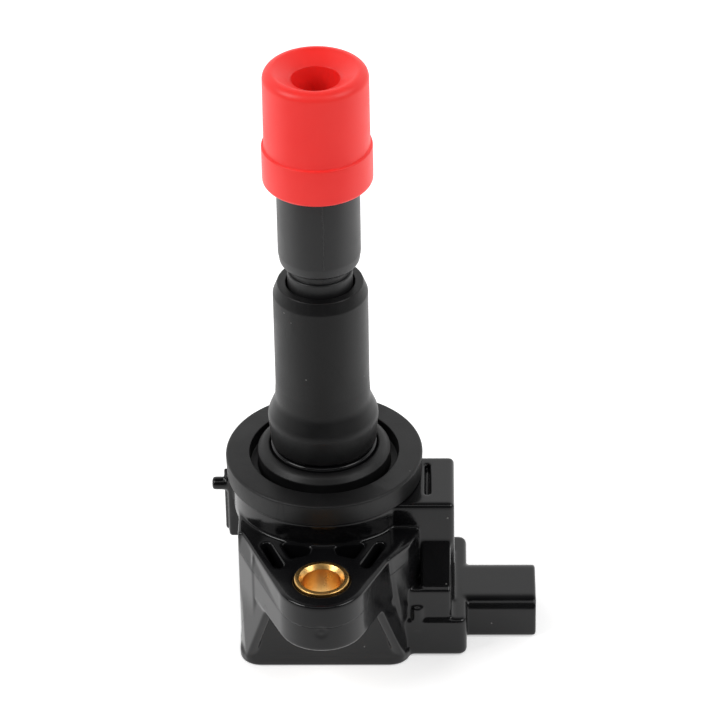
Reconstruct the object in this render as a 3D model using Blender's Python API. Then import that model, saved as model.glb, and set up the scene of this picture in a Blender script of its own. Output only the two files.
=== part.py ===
"""Plug-top ignition coil for a small petrol engine, modelled as its separate pieces.

The coil stands on its flat potted face, with the plug tube pointing up. The tube's axis is the Z axis, the
fixing ear points to -Y and the wiring connector to +X. Dimensions are in millimetres until mesh_piece and
helix, which turn them into metres.
"""

import math

import bmesh
import bpy
from mathutils import Vector

MM = 0.001
GAP = 0.3  # clearance left between pieces that touch

# Housing block, which stands on z = 0
BLOCK_HALF_WIDTH = 15.8
BLOCK_FRONT = -19.9
BLOCK_BACK = 18.0
BLOCK_TOP = 25.5
BLOCK_CORNER = 3.0
BLOCK_CHAMFER_FRONT = 12.75
RIM_HEIGHT = 2.2
RIM_OVERHANG = 0.2
RIM_CORNER = 3.6
WALL = 1.8
ROOF = 2.5

# Round neck, seal and tower above the block
NECK_RADIUS = 17.0
NECK_TOP = 30.3
SEAL_RADIUS = 18.2
SEAL_FACE = 35.1
SEAL_LIP_TOP = 37.0
SEAL_LIP_RADIUS = 12.2
GROOVE_RADIUS = 13.75
GROOVE_DEPTH = 2.6
TOWER_RADIUS = 9.8
TOWER_TOP = 37.6
SPIGOT_RADIUS = 7.6
SPIGOT_TOP = 45.5
TOWER_BORE = 3.2

# Fixing ear with its brass bush
EAR_REACH = 27.0
EAR_RADIUS = 8.35
EAR_THICKNESS = 10.1
EAR_ROOT = -13.1
BUSH_RADIUS = 5.0
BUSH_BORE = 3.5
BUSH_PROUD = 0.4
BUSH_CHAMFER = 0.6

# Hollows in the ear's top, on each side of its middle: plan points for the right side
RECESS_FLOOR = 19.5
SHELF_BACK = -15.3
SLOT_BACK = (10.4, -16.7)
SLOT_FRONT = (8.0, -22.5)
SLOT_WIDTH = 1.8
POCKET_CORNERS = ((2.2, -17.3), (7.9, -15.9), (5.8, -20.6), (2.6, -19.3))

# Rib under the ear, on the right side: its outer face's corners
GUSSET_THICKNESS = 1.6
GUSSET_FOOT = 1.2
GUSSET_TOP_PLAN = ((15.5, -13.5), (10.4, -23.9))
GUSSET_FOOT_PLAN = ((14.7, -19.4), (15.6, -16.0))

# Shoulder that joins the ear's right corner to the electronics bay: its plan at the top and at the foot
SHOULDER_TOP_PLAN = ((12.0, -20.7), (12.3, -20.9), (15.8, -16.5), (17.4, -12.5), (17.4, -9.0), (12.0, -9.0))
SHOULDER_FOOT_PLAN = ((12.0, -17.5), (15.4, -16.4), (17.4, -12.5), (17.4, -9.0), (12.0, -9.0))
SHOULDER_TOP = 25.45
SHOULDER_FOOT = 0.5
POST_CENTRE = (17.1, -15.9)
POST_RADIUS = 1.4
POST_TOP = 11.2

# Electronics bay and connector on the right
BAY_RIGHT = 24.0
BAY_FRONT = -11.3
BAY_BACK = 4.2
BAY_TOP = 30.5
BAY_SLOT_LOW = (18.7, -7.8)
BAY_SLOT_HIGH = (19.6, 1.65)
BAY_SLOT_DEPTH = 1.1
BAY_SLOPE = ((-10.0, 14.0), (-15.9, 14.0), (-15.9, 15.0), (-11.3, 22.5), (-10.0, 22.5))
LEDGE_RIGHT = 23.4
LEDGE_FRONT = -16.5
LEDGE_TOP = 15.0
FOOT_RIGHT = 26.3
FOOT_FRONT = -17.2
FOOT_BACK = 9.3
FOOT_TOP = 8.4
CONNECTOR_END = 39.2
CONNECTOR_CENTRE = -5.0
CONNECTOR_WIDTH = 13.2
CONNECTOR_BOTTOM = 0.25
CONNECTOR_WALL = 1.2
CONNECTOR_CORNER = 2.5
SOCKET_FLOOR = 28.0

# Plug tube, sleeve and boot
SLEEVE_TOP = 72.3
SLEEVE_BORE = 6.2
SLEEVE_BASE = TOWER_TOP + GAP
TUBE_RADIUS = 7.45
TUBE_NECK_RADIUS = 5.9
TUBE_BORE = 3.4
TUBE_FOOT = 46.3
TUBE_SHOULDER = 76.6
TUBE_TOP = 102.5
TUBE_LIP = 2.5
BOOT_BOTTOM = 93.7
BOOT_TOP = 116.0
BOOT_ROUNDING = 1.6
BOOT_RADIUS = 9.4
COLLAR_RADIUS = 9.85
COLLAR_TOP = 101.0
BOOT_MOUTH_RADIUS = 4.3
BOOT_MOUTH_RIM = 114.2
BOOT_SOCKET_TOP = 102.9

# Coil on its core, inside the block: the core's axis lies along Y
COIL_HEIGHT = 12.6
CORE_HALF = 3.5
CORE_FRONT = -11.7
CORE_BACK = 10.3
LOOP_SIDE = 13.3
LOOP_LEG = 3.0
POTTING_DEPTH = 2.3

# Connector pins
PIN_PITCH = 3.4
PIN_HALF_WIDTH = 0.7
PIN_THICKNESS = 0.64
PIN_TIP = 35.4
PIN_HEIGHT = 4.0
PIN_ROOT = 18.6


def clear_scene():
    for item in list(bpy.data.objects):
        bpy.data.objects.remove(item, do_unlink=True)


def finish(name, colour, roughness, metallic=0.0):
    """A Principled BSDF finish."""
    material = bpy.data.materials.new(name)
    material.use_nodes = True
    shader = material.node_tree.nodes["Principled BSDF"]
    shader.inputs["Base Color"].default_value = (*colour, 1.0)
    shader.inputs["Roughness"].default_value = roughness
    shader.inputs["Metallic"].default_value = metallic
    return material


def mesh_piece(name, bm, material=None, origin=(0.0, 0.0, 0.0)):
    """Turns a bmesh in millimetres into an object whose origin is at the given point."""
    bmesh.ops.remove_doubles(bm, verts=bm.verts, dist=1e-4)
    bmesh.ops.recalc_face_normals(bm, faces=bm.faces)
    origin = Vector(origin)
    for vert in bm.verts:
        vert.co = (vert.co - origin) * MM
    mesh = bpy.data.meshes.new(name)
    bm.to_mesh(mesh)
    bm.free()
    mesh.shade_smooth()
    mesh.set_sharp_from_angle(angle=math.radians(35))
    piece = bpy.data.objects.new(name, mesh)
    piece.location = origin * MM
    bpy.context.scene.collection.objects.link(piece)
    if material:
        mesh.materials.append(material)
    return piece


def arc(centre, radius, start, end, steps):
    """Points of an arc in a plane; the angles are in degrees."""
    points = []
    for step in range(steps + 1):
        angle = math.radians(start + (end - start) * step / steps)
        points.append((centre[0] + radius * math.cos(angle), centre[1] + radius * math.sin(angle)))
    return points


def rounded_rectangle(low, high, radius, steps=4):
    """Outline of a rectangle with round corners, anticlockwise."""
    corners = (
        ((high[0] - radius, low[1] + radius), -90),
        ((high[0] - radius, high[1] - radius), 0),
        ((low[0] + radius, high[1] - radius), 90),
        ((low[0] + radius, low[1] + radius), 180),
    )
    points = []
    for centre, start in corners:
        points += arc(centre, radius, start, start + 90, steps)
    return points


def extruded(name, outline, low, high, material=None, axis="Z", origin=(0.0, 0.0, 0.0)):
    """An outline extruded along an axis: (x, y) along Z, (x, z) along Y or (y, z) along X."""
    place = {
        "X": lambda u, v, w: (w, u, v),
        "Y": lambda u, v, w: (u, w, v),
        "Z": lambda u, v, w: (u, v, w),
    }[axis]
    bm = bmesh.new()
    face = bm.faces.new([bm.verts.new(place(u, v, low)) for u, v in outline])
    swept = bmesh.ops.extrude_face_region(bm, geom=[face])
    moved = [item for item in swept["geom"] if isinstance(item, bmesh.types.BMVert)]
    bmesh.ops.translate(bm, verts=moved, vec=Vector(place(0, 0, high - low)))
    return mesh_piece(name, bm, material, origin)


def box(name, low, high, material=None, round_edges=0.0):
    """A box between two corners, with its edges rounded where a radius is given."""
    bm = bmesh.new()
    bmesh.ops.create_cube(bm, size=1.0)
    for vert in bm.verts:
        vert.co = [low[i] + (vert.co[i] + 0.5) * (high[i] - low[i]) for i in range(3)]
    if round_edges:
        bmesh.ops.bevel(
            bm, geom=list(bm.edges), offset=round_edges, segments=2, profile=0.5, affect="EDGES"
        )
    return mesh_piece(name, bm, material)


def turned(name, profile, material=None, centre=(0.0, 0.0), steps=40, origin=(0.0, 0.0, 0.0)):
    """A closed half section of (radius, height) points, turned about a vertical axis."""
    bm = bmesh.new()
    verts = [bm.verts.new((centre[0] + radius, centre[1], height)) for radius, height in profile]
    edges = []
    for first, second in zip(range(len(profile)), list(range(1, len(profile))) + [0]):
        on_axis = profile[first][0] < 1e-6 and profile[second][0] < 1e-6
        if not on_axis:
            edges.append(bm.edges.new((verts[first], verts[second])))
    bmesh.ops.spin(
        bm,
        geom=verts + edges,
        cent=(centre[0], centre[1], 0.0),
        axis=(0.0, 0.0, 1.0),
        angle=math.tau,
        steps=steps,
        use_merge=True,
    )
    return mesh_piece(name, bm, material, origin)


def rod(name, radius, low, high, material=None, centre=(0.0, 0.0), steps=32):
    """A plain solid cylinder."""
    return turned(name, [(0, low), (radius, low), (radius, high), (0, high)], material, centre, steps)


def combine(target, operation, tools):
    """Adds one exact Boolean for each tool, and keeps the tool as a wireframe guide."""
    for tool in tools:
        modifier = target.modifiers.new(tool.name, "BOOLEAN")
        modifier.operation = operation
        modifier.solver = "EXACT"
        modifier.object = tool
        tool.hide_render = True
        tool.display_type = "WIRE"
    return target


def helix(name, radius, wire, low, high, turns, material, points_per_turn=12):
    """A coil spring of round wire between two heights, as a bevelled curve about the Z axis."""
    curve = bpy.data.curves.new(name, "CURVE")
    curve.dimensions = "3D"
    curve.bevel_depth = wire * MM
    curve.bevel_resolution = 1
    curve.use_fill_caps = True
    count = int(turns * points_per_turn) + 1
    spline = curve.splines.new("POLY")
    spline.points.add(count - 1)
    first = low + wire
    last = high - wire
    for index, point in enumerate(spline.points):
        share = index / (count - 1)
        angle = math.tau * turns * share
        height = (first + (last - first) * share - low) * MM
        point.co = (radius * math.cos(angle) * MM, radius * math.sin(angle) * MM, height, 1.0)
    curve.materials.append(material)
    piece = bpy.data.objects.new(name, curve)
    piece.location = (0.0, 0.0, low * MM)
    bpy.context.scene.collection.objects.link(piece)
    return piece


def wire_run(name, points, radius, material):
    """A stiff lead along a list of points."""
    curve = bpy.data.curves.new(name, "CURVE")
    curve.dimensions = "3D"
    curve.bevel_depth = radius * MM
    curve.bevel_resolution = 1
    curve.use_fill_caps = True
    spline = curve.splines.new("POLY")
    spline.points.add(len(points) - 1)
    for point, place in zip(spline.points, points):
        point.co = (place[0] * MM, place[1] * MM, place[2] * MM, 1.0)
    curve.materials.append(material)
    piece = bpy.data.objects.new(name, curve)
    bpy.context.scene.collection.objects.link(piece)
    return piece


def tangent_point(outside, centre, radius, side):
    """Where a line from a point outside a circle touches it, on the left (-1) or right (+1)."""
    reach = math.dist(outside, centre)
    towards = math.atan2(outside[1] - centre[1], outside[0] - centre[0])
    swing = math.acos(radius / reach)
    angle = towards - side * swing
    return (centre[0] + radius * math.cos(angle), centre[1] + radius * math.sin(angle)), angle


def ear_outline(steps=14):
    """Plan of the ear: straight sides from the block's width to the round tip about the bush."""
    centre = (0.0, -EAR_REACH)
    _, left = tangent_point((-BLOCK_HALF_WIDTH, EAR_ROOT), centre, EAR_RADIUS, -1)
    _, right = tangent_point((BLOCK_HALF_WIDTH, EAR_ROOT), centre, EAR_RADIUS, 1)
    start = math.degrees(left) % 360
    end = math.degrees(right) % 360
    tip = arc(centre, EAR_RADIUS, start, end, steps)
    back = EAR_ROOT + 8.0
    return [(-BLOCK_HALF_WIDTH, back), (-BLOCK_HALF_WIDTH, EAR_ROOT), *tip,
            (BLOCK_HALF_WIDTH, EAR_ROOT), (BLOCK_HALF_WIDTH, back)]


def block_outline(inset=0.0):
    """Plan of the main block: slanted front corners in line with the ear's sides, round back corners."""
    half = BLOCK_HALF_WIDTH - inset
    narrow = BLOCK_CHAMFER_FRONT - 0.65 * inset
    slant = EAR_ROOT + 0.24 * inset
    front = BLOCK_FRONT + inset
    radius = BLOCK_CORNER - inset
    centre = (half - radius, BLOCK_BACK - inset - radius)
    back = arc(centre, radius, 0, 90, 4) + arc((-centre[0], centre[1]), radius, 90, 180, 4)
    return [(-half, slant), (-narrow, front), (narrow, front), (half, slant), *back]


def rim_outline():
    """Plan of the rim around the foot of the block, which stands proud at the front."""
    low = (-BLOCK_HALF_WIDTH - 0.1, BLOCK_FRONT - RIM_OVERHANG)
    high = (BLOCK_HALF_WIDTH + 0.1, BLOCK_BACK + 0.2)
    return rounded_rectangle(low, high, RIM_CORNER, 5)


def potting_outline():
    """Plan of the potting: the block's hollow, with the electronics bay's on its right side."""
    inset = WALL + GAP
    block = block_outline(inset)
    front_right = 4
    right = BLOCK_HALF_WIDTH - inset
    bay_front = BAY_FRONT + inset
    bay_back = BAY_BACK - inset
    bay = [(right, bay_front), (BAY_RIGHT - inset, bay_front), (BAY_RIGHT - inset, bay_back), (right, bay_back)]
    return block[:front_right] + bay + block[front_right:]


def hulled(name, points):
    """The convex hull of a few points."""
    bm = bmesh.new()
    for point in points:
        bm.verts.new(point)
    bmesh.ops.convex_hull(bm, input=list(bm.verts))
    return mesh_piece(name, bm)


def gusset(name, side):
    """A thin rib under the ear, from its side wall down to the rim's front corner."""
    top = BLOCK_TOP - EAR_THICKNESS + 1.0
    points = []
    for plan, height in ((GUSSET_TOP_PLAN, top), (GUSSET_FOOT_PLAN, GUSSET_FOOT)):
        for x, y in plan:
            points.append((side * x, y, height))
            points.append((side * (x - GUSSET_THICKNESS), y, height))
    return hulled(name, points)


def shoulder():
    """The shoulder beside the ear, which narrows towards its foot."""
    points = [(x, y, SHOULDER_TOP) for x, y in SHOULDER_TOP_PLAN]
    points += [(x, y, SHOULDER_FOOT) for x, y in SHOULDER_FOOT_PLAN]
    return hulled("shoulder_form", points)


def slot_outline(start, end, width, steps=4):
    """Plan of a slot with round ends between two points."""
    angle = math.degrees(math.atan2(end[1] - start[1], end[0] - start[0]))
    return (arc(start, width / 2, angle + 90, angle + 270, steps)
            + arc(end, width / 2, angle - 90, angle + 90, steps))


def pocket_outline(side):
    """Plan of the four-cornered pocket between the neck, the bush boss and the slot's rib."""
    return [(side * x, y) for x, y in POCKET_CORNERS]


def connector_outline(inset=0.0):
    """Section of the connector shell across X, as (y, z) points: round above, nearly square below."""
    half = CONNECTOR_WIDTH / 2 - inset
    bottom = CONNECTOR_BOTTOM + inset
    radius = CONNECTOR_CORNER - inset
    small = 0.6
    right = CONNECTOR_CENTRE + half
    left = CONNECTOR_CENTRE - half
    high = FOOT_TOP - inset - radius
    return (arc((left + small, bottom + small), small, 180, 270, 2)
            + arc((right - small, bottom + small), small, -90, 0, 2)
            + arc((right - radius, high), radius, 0, 90, 4)
            + arc((left + radius, high), radius, 90, 180, 4))


def make_housing(material):
    """The glossy moulded housing: block, ear, neck, tower, electronics bay and connector shell.

    A shelf inside the front wall closes the floors of the ear's slots and pockets.
    """
    housing = extruded("housing", block_outline(), 0.3, BLOCK_TOP, material)
    ear_bottom = BLOCK_TOP - EAR_THICKNESS
    added = [
        extruded("rim_form", rim_outline(), 0.0, RIM_HEIGHT),
        extruded("ear_form", ear_outline(), ear_bottom, BLOCK_TOP),
        gusset("gusset_left", -1),
        gusset("gusset_right", 1),
        rod("neck_form", NECK_RADIUS, BLOCK_TOP - 2.0, NECK_TOP, steps=56),
        turned("tower_form", [(0, NECK_TOP - 1), (TOWER_RADIUS, NECK_TOP - 1), (TOWER_RADIUS, TOWER_TOP),
                              (SPIGOT_RADIUS, TOWER_TOP), (SPIGOT_RADIUS, SPIGOT_TOP), (0, SPIGOT_TOP)]),
        box("bay_form", (12.0, BAY_FRONT, 2.0), (BAY_RIGHT, BAY_BACK, BAY_TOP), round_edges=0.9),
        box("ledge_form", (12.0, LEDGE_FRONT, 1.0), (LEDGE_RIGHT, BAY_FRONT + 3.0, LEDGE_TOP), round_edges=0.7),
        extruded("bay_slope_form", BAY_SLOPE, 17.8, LEDGE_RIGHT - 0.1, axis="X"),
        extruded("foot_form", rounded_rectangle((11.0, FOOT_FRONT), (FOOT_RIGHT, FOOT_BACK), 1.5), 0.15, FOOT_TOP),
        extruded("connector_form", connector_outline(), FOOT_RIGHT - 1.0, CONNECTOR_END, axis="X"),
        box("rail_form", (-18.2, 0.6, 14.6), (-14.0, 3.4, 28.4), round_edges=0.3),
        box("fin_form", (-18.9, 1.6, 15.6), (-17.9, 2.4, 29.4)),
        extruded("peg_form", arc((2.0, 26.0), 1.25, 0, 337.5, 15), -21.1, -17.0, axis="X"),
        shoulder(),
        rod("post_form", POST_RADIUS, FOOT_TOP - 2.4, POST_TOP, centre=POST_CENTRE, steps=16),
    ]
    combine(housing, "UNION", added)
    combine(housing, "DIFFERENCE", [extruded("block_hollow", block_outline(WALL), -1.0, BLOCK_TOP - ROOF)])
    shelf = box("shelf_form", (-13.0, BLOCK_FRONT + 1.0, RECESS_FLOOR - WALL), (13.0, SHELF_BACK, BLOCK_TOP - 1.0))
    combine(housing, "UNION", [shelf])
    pin_low = PIN_HEIGHT - GAP
    pin_high = PIN_HEIGHT + PIN_THICKNESS + GAP
    removed = [
        rod("neck_hollow", NECK_RADIUS - 4.0, BLOCK_TOP - ROOF - 1.0, NECK_TOP - 2.3),
        box("bay_hollow", (11.0, BAY_FRONT + WALL, -1.0), (BAY_RIGHT - WALL, BAY_BACK - WALL, BAY_TOP - WALL)),
        rod("tower_bore", TOWER_BORE, NECK_TOP - 4.0, SPIGOT_TOP + 1.0, steps=24),
        rod("bush_hole", BUSH_RADIUS + GAP, ear_bottom - 1.0, BLOCK_TOP + 1.0, centre=(0.0, -EAR_REACH)),
        extruded("connector_socket", connector_outline(CONNECTOR_WALL), SOCKET_FLOOR, CONNECTOR_END + 1.0, axis="X"),
        box("bay_slot", (*BAY_SLOT_LOW, BAY_TOP - BAY_SLOT_DEPTH), (*BAY_SLOT_HIGH, BAY_TOP + 1.0)),
    ]
    for side in (-1, 1):
        start = (side * SLOT_BACK[0], SLOT_BACK[1])
        end = (side * SLOT_FRONT[0], SLOT_FRONT[1])
        slot = slot_outline(start, end, SLOT_WIDTH)
        removed.append(extruded(f"ear_slot_{side}", slot, RECESS_FLOOR, BLOCK_TOP + 1.0))
        removed.append(extruded(f"ear_pocket_{side}", pocket_outline(side), RECESS_FLOOR, BLOCK_TOP + 1.0))
    for index in (-1, 0, 1):
        middle = CONNECTOR_CENTRE + index * PIN_PITCH
        reach = PIN_HALF_WIDTH + GAP
        removed.append(box(f"pin_slot_{index}", (BAY_RIGHT - WALL - 1.0, middle - reach, pin_low),
                           (SOCKET_FLOOR + 1.0, middle + reach, pin_high)))
    combine(housing, "DIFFERENCE", removed)
    return housing


def square_ring(name, inner, outer, front, back, material, corner=0.8):
    """A square sleeve around the core's axis, from front to back along Y."""
    outside = extruded(
        name,
        rounded_rectangle((-outer, COIL_HEIGHT - outer), (outer, COIL_HEIGHT + outer), corner, 3),
        front, back, material, axis="Y",
    )
    hole = extruded(
        f"{name}_hole",
        rounded_rectangle((-inner, COIL_HEIGHT - inner), (inner, COIL_HEIGHT + inner), 0.3, 1),
        front - 1.0, back + 1.0, axis="Y",
    )
    return combine(outside, "DIFFERENCE", [hole])


def bobbin(name, inner, wall, flange, front, back, material, flange_depth=0.9):
    """A winding former: a square sleeve with a flange at each end."""
    former = square_ring(name, inner, flange, front, back, material)
    waist = square_ring(
        f"{name}_waist", inner + wall, flange + 2.0, front + flange_depth, back - flange_depth, None
    )
    return combine(former, "DIFFERENCE", [waist])


def make_coil(metal, magnet, former_plastic, copper, lacquer):
    """The transformer: core, magnet, formers and windings, nested with a small gap between them."""
    low = COIL_HEIGHT - CORE_HALF
    high = COIL_HEIGHT + CORE_HALF
    box("core_bar", (-CORE_HALF, CORE_FRONT, low), (CORE_HALF, CORE_BACK, high), metal)
    box("core_magnet", (-CORE_HALF, CORE_BACK + GAP, low), (CORE_HALF, CORE_BACK + 1.7, high), magnet)
    front = CORE_FRONT - GAP - LOOP_LEG
    back = CORE_BACK + 1.7 + GAP + LOOP_LEG
    loop = extruded("core_loop", rounded_rectangle((-LOOP_SIDE, front), (LOOP_SIDE, back), 2.2), low, high, metal)
    window = box("core_loop_window", (-LOOP_SIDE + LOOP_LEG, front + LOOP_LEG, low - 1.0),
                 (LOOP_SIDE - LOOP_LEG, back - LOOP_LEG, high + 1.0))
    combine(loop, "DIFFERENCE", [window])
    bobbin("primary_bobbin", CORE_HALF + GAP, 0.9, 6.7, CORE_FRONT + 0.1, CORE_BACK - 0.1, former_plastic)
    square_ring("primary_winding", 5.0, 6.3, CORE_FRONT + 1.4, CORE_BACK - 1.4, copper, 1.5)
    bobbin("secondary_bobbin", 7.0, 0.9, 10.0, CORE_FRONT + 0.8, CORE_BACK - 0.8, former_plastic)
    square_ring("secondary_winding", 8.2, 9.6, CORE_FRONT + 2.1, CORE_BACK - 2.1, lacquer, 2.2)


def make_terminal(name, index, material):
    """A flat connector pin that runs through the bay wall and turns up to the igniter."""
    middle = CONNECTOR_CENTRE + index * PIN_PITCH
    low = middle - PIN_HALF_WIDTH
    top = PIN_HEIGHT + PIN_THICKNESS
    outline = [
        (PIN_ROOT, PIN_HEIGHT), (PIN_TIP - 0.6, PIN_HEIGHT), (PIN_TIP, PIN_HEIGHT + 0.2),
        (PIN_TIP, top - 0.2), (PIN_TIP - 0.6, top), (PIN_ROOT + PIN_THICKNESS, top),
        (PIN_ROOT + PIN_THICKNESS, 7.6), (PIN_ROOT, 7.6),
    ]
    return extruded(name, outline, low, low + 2 * PIN_HALF_WIDTH, material, axis="Y")


def make_electronics(moulding, spreader, tin, enamel):
    """The igniter with its heat spreader, the connector pins and the primary's two leads."""
    box("igniter_module", (16.6, -9.3, 8.0), (20.9, 1.7, 24.0), moulding, round_edges=0.4)
    box("igniter_heat_spreader", (21.2, -9.3, 7.4), (21.9, 1.7, 26.4), spreader)
    make_terminal("terminal_ground", -1, tin)
    make_terminal("terminal_trigger", 0, tin)
    make_terminal("terminal_supply", 1, tin)
    feed = [(3.2, -12.4, 6.6), (3.2, -12.4, 4.6), (12.6, -12.4, 4.6), (13.2, -8.6, 4.6), (15.8, -7.2, 5.2),
            (15.9, -7.0, 7.4)]
    switched = [(-3.2, -12.4, 6.6), (-3.2, -13.8, 6.2), (12.8, -13.8, 6.2), (13.2, -9.9, 6.2),
                (14.6, -8.6, 6.8), (15.7, -8.5, 12.0)]
    wire_run("primary_lead_feed", feed, 0.4, enamel)
    wire_run("primary_lead_switched", switched, 0.4, enamel)


def make_high_voltage_path(brass, steel, ceramic, moulding, enamel):
    """What carries the spark from the secondary winding up the tube to the plug."""
    extruded("high_voltage_diode", arc((0.0, 25.4), 1.6, 0, 337.5, 15), -6.5, 2.5, moulding, axis="Y")
    lead = [(0.0, 2.9, 25.4), (0.0, 6.0, 25.4), (0.0, 7.6, 24.4), (0.0, 7.6, 23.0)]
    wire_run("high_voltage_lead", lead, 0.35, enamel)
    turned("high_voltage_terminal", [(0, 27.4), (2.2, 27.4), (2.2, 28.6), (TOWER_BORE - GAP, 28.6),
                                     (TOWER_BORE - GAP, 44.4), (1.9, 44.4), (1.9, 46.0), (0, 46.0)], brass, steps=24)
    helix("link_spring", 2.3, 0.35, 46.3, 50.7, 4, steel)
    cap_radius = TUBE_BORE - GAP
    turned("resistor_cap_lower", [(0, 51.0), (cap_radius, 51.0), (cap_radius, 54.0), (2.8, 54.0),
                                  (2.8, 52.0), (0, 52.0)], brass, steps=24)
    rod("resistor_body", 2.5, 52.3, 64.7, ceramic, steps=24)
    turned("resistor_cap_upper", [(0, 66.0), (0, 65.0), (2.8, 65.0), (2.8, 63.0), (cap_radius, 63.0),
                                  (cap_radius, 66.0)], brass, steps=24)
    helix("contact_spring", 2.5, 0.35, 66.3, 99.0, 14, steel)
    turned("contact_cap", [(0, 99.3), (3.0, 99.3), (3.0, 100.6), (2.1, 100.6), (2.1, 104.4), (1.7, 105.0),
                           (0, 105.0)], brass, steps=24, origin=(0.0, 0.0, 99.3))


def make_tube(plastic):
    """The rigid plug tube: thick above its shoulder, with a neck that plugs into the sleeve."""
    profile = [
        (TUBE_BORE, TUBE_FOOT), (TUBE_NECK_RADIUS - 0.4, TUBE_FOOT), (TUBE_NECK_RADIUS, TUBE_FOOT + 0.8),
        (TUBE_NECK_RADIUS, 74.6), (TUBE_NECK_RADIUS - 0.5, 74.9), (TUBE_NECK_RADIUS - 0.5, TUBE_SHOULDER),
        (TUBE_RADIUS - 1.2, TUBE_SHOULDER), (TUBE_RADIUS - 0.3, TUBE_SHOULDER + 1.0),
        (TUBE_RADIUS, TUBE_SHOULDER + 2.0), (TUBE_RADIUS, TUBE_TOP - 0.6), (TUBE_RADIUS - 0.6, TUBE_TOP),
        (TUBE_LIP, TUBE_TOP), (TUBE_LIP, 101.0), (TUBE_BORE, 101.0),
    ]
    return turned("high_voltage_tube", profile, plastic)


def make_sleeve(rubber):
    """The lower sleeve that joins the tube to the housing's tower, with a flared skirt at its base."""
    counterbore = SPIGOT_RADIUS + GAP
    profile = [
        (counterbore, SLEEVE_BASE), (9.65, SLEEVE_BASE), (10.1, 42.6), (10.2, 43.8), (10.0, 44.6),
        (9.0, 46.8), (8.7, 48.6), (8.6, 51.0), (8.6, 70.0), (7.7, SLEEVE_TOP), (SLEEVE_BORE, SLEEVE_TOP),
        (SLEEVE_BORE, SPIGOT_TOP + GAP), (counterbore, SPIGOT_TOP + GAP),
    ]
    return turned("tube_sleeve", profile, rubber)


def make_seal(rubber):
    """The ring that seals the coil in the plug well: a flat face with a groove and a raised inner lip."""
    inner = TOWER_RADIUS + GAP
    base = NECK_TOP + GAP
    groove = SEAL_FACE - GROOVE_DEPTH
    profile = [
        (inner, base), (SEAL_RADIUS - 0.4, base), (SEAL_RADIUS, base + 0.4), (SEAL_RADIUS, SEAL_FACE - 0.4),
        (SEAL_RADIUS - 0.4, SEAL_FACE), (GROOVE_RADIUS, SEAL_FACE), (GROOVE_RADIUS, groove),
        (SEAL_LIP_RADIUS, groove), (SEAL_LIP_RADIUS, SEAL_FACE + 0.4), (SEAL_LIP_RADIUS - 0.2, SEAL_FACE + 1.0),
        (SEAL_LIP_RADIUS - 0.7, SEAL_FACE + 1.5), (SEAL_LIP_RADIUS - 1.3, SEAL_LIP_TOP - 0.1),
        (inner + 0.4, SEAL_LIP_TOP), (inner, SEAL_LIP_TOP - 0.4),
    ]
    return turned("flange_seal", profile, rubber, steps=56)


def make_boot(silicone):
    """The soft boot on the tube's end, with a collar and a shallow funnel mouth for the spark plug."""
    socket = TUBE_RADIUS + GAP
    crest = BOOT_RADIUS - BOOT_ROUNDING
    profile = [
        (socket, BOOT_BOTTOM), (COLLAR_RADIUS - 0.7, BOOT_BOTTOM),
        *arc((COLLAR_RADIUS - 0.7, BOOT_BOTTOM + 0.7), 0.7, -60, 0, 2),
        *arc((COLLAR_RADIUS - 0.3, COLLAR_TOP - 0.3), 0.3, 0, 90, 2),
        (BOOT_RADIUS, COLLAR_TOP + 0.1), (BOOT_RADIUS, BOOT_TOP - BOOT_ROUNDING),
        *arc((crest, BOOT_TOP - BOOT_ROUNDING), BOOT_ROUNDING, 22.5, 90, 3),
        (BOOT_MOUTH_RADIUS + 0.2, BOOT_MOUTH_RIM + 0.1), (BOOT_MOUTH_RADIUS, BOOT_MOUTH_RIM - 0.1),
        (BOOT_MOUTH_RADIUS, BOOT_SOCKET_TOP), (socket, BOOT_SOCKET_TOP),
    ]
    return turned("plug_boot", profile, silicone, origin=(0.0, 0.0, BOOT_BOTTOM))


def make_bush(brass):
    """The brass bush that takes the fixing bolt's load through the ear."""
    low = BLOCK_TOP - EAR_THICKNESS - 0.2
    high = BLOCK_TOP + BUSH_PROUD
    profile = [
        (BUSH_BORE, low + BUSH_CHAMFER), (BUSH_BORE + BUSH_CHAMFER, low), (BUSH_RADIUS, low),
        (BUSH_RADIUS, high), (BUSH_BORE + BUSH_CHAMFER, high), (BUSH_BORE, high - BUSH_CHAMFER),
    ]
    return turned("mounting_bush", profile, brass, centre=(0.0, -EAR_REACH), steps=36)


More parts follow.
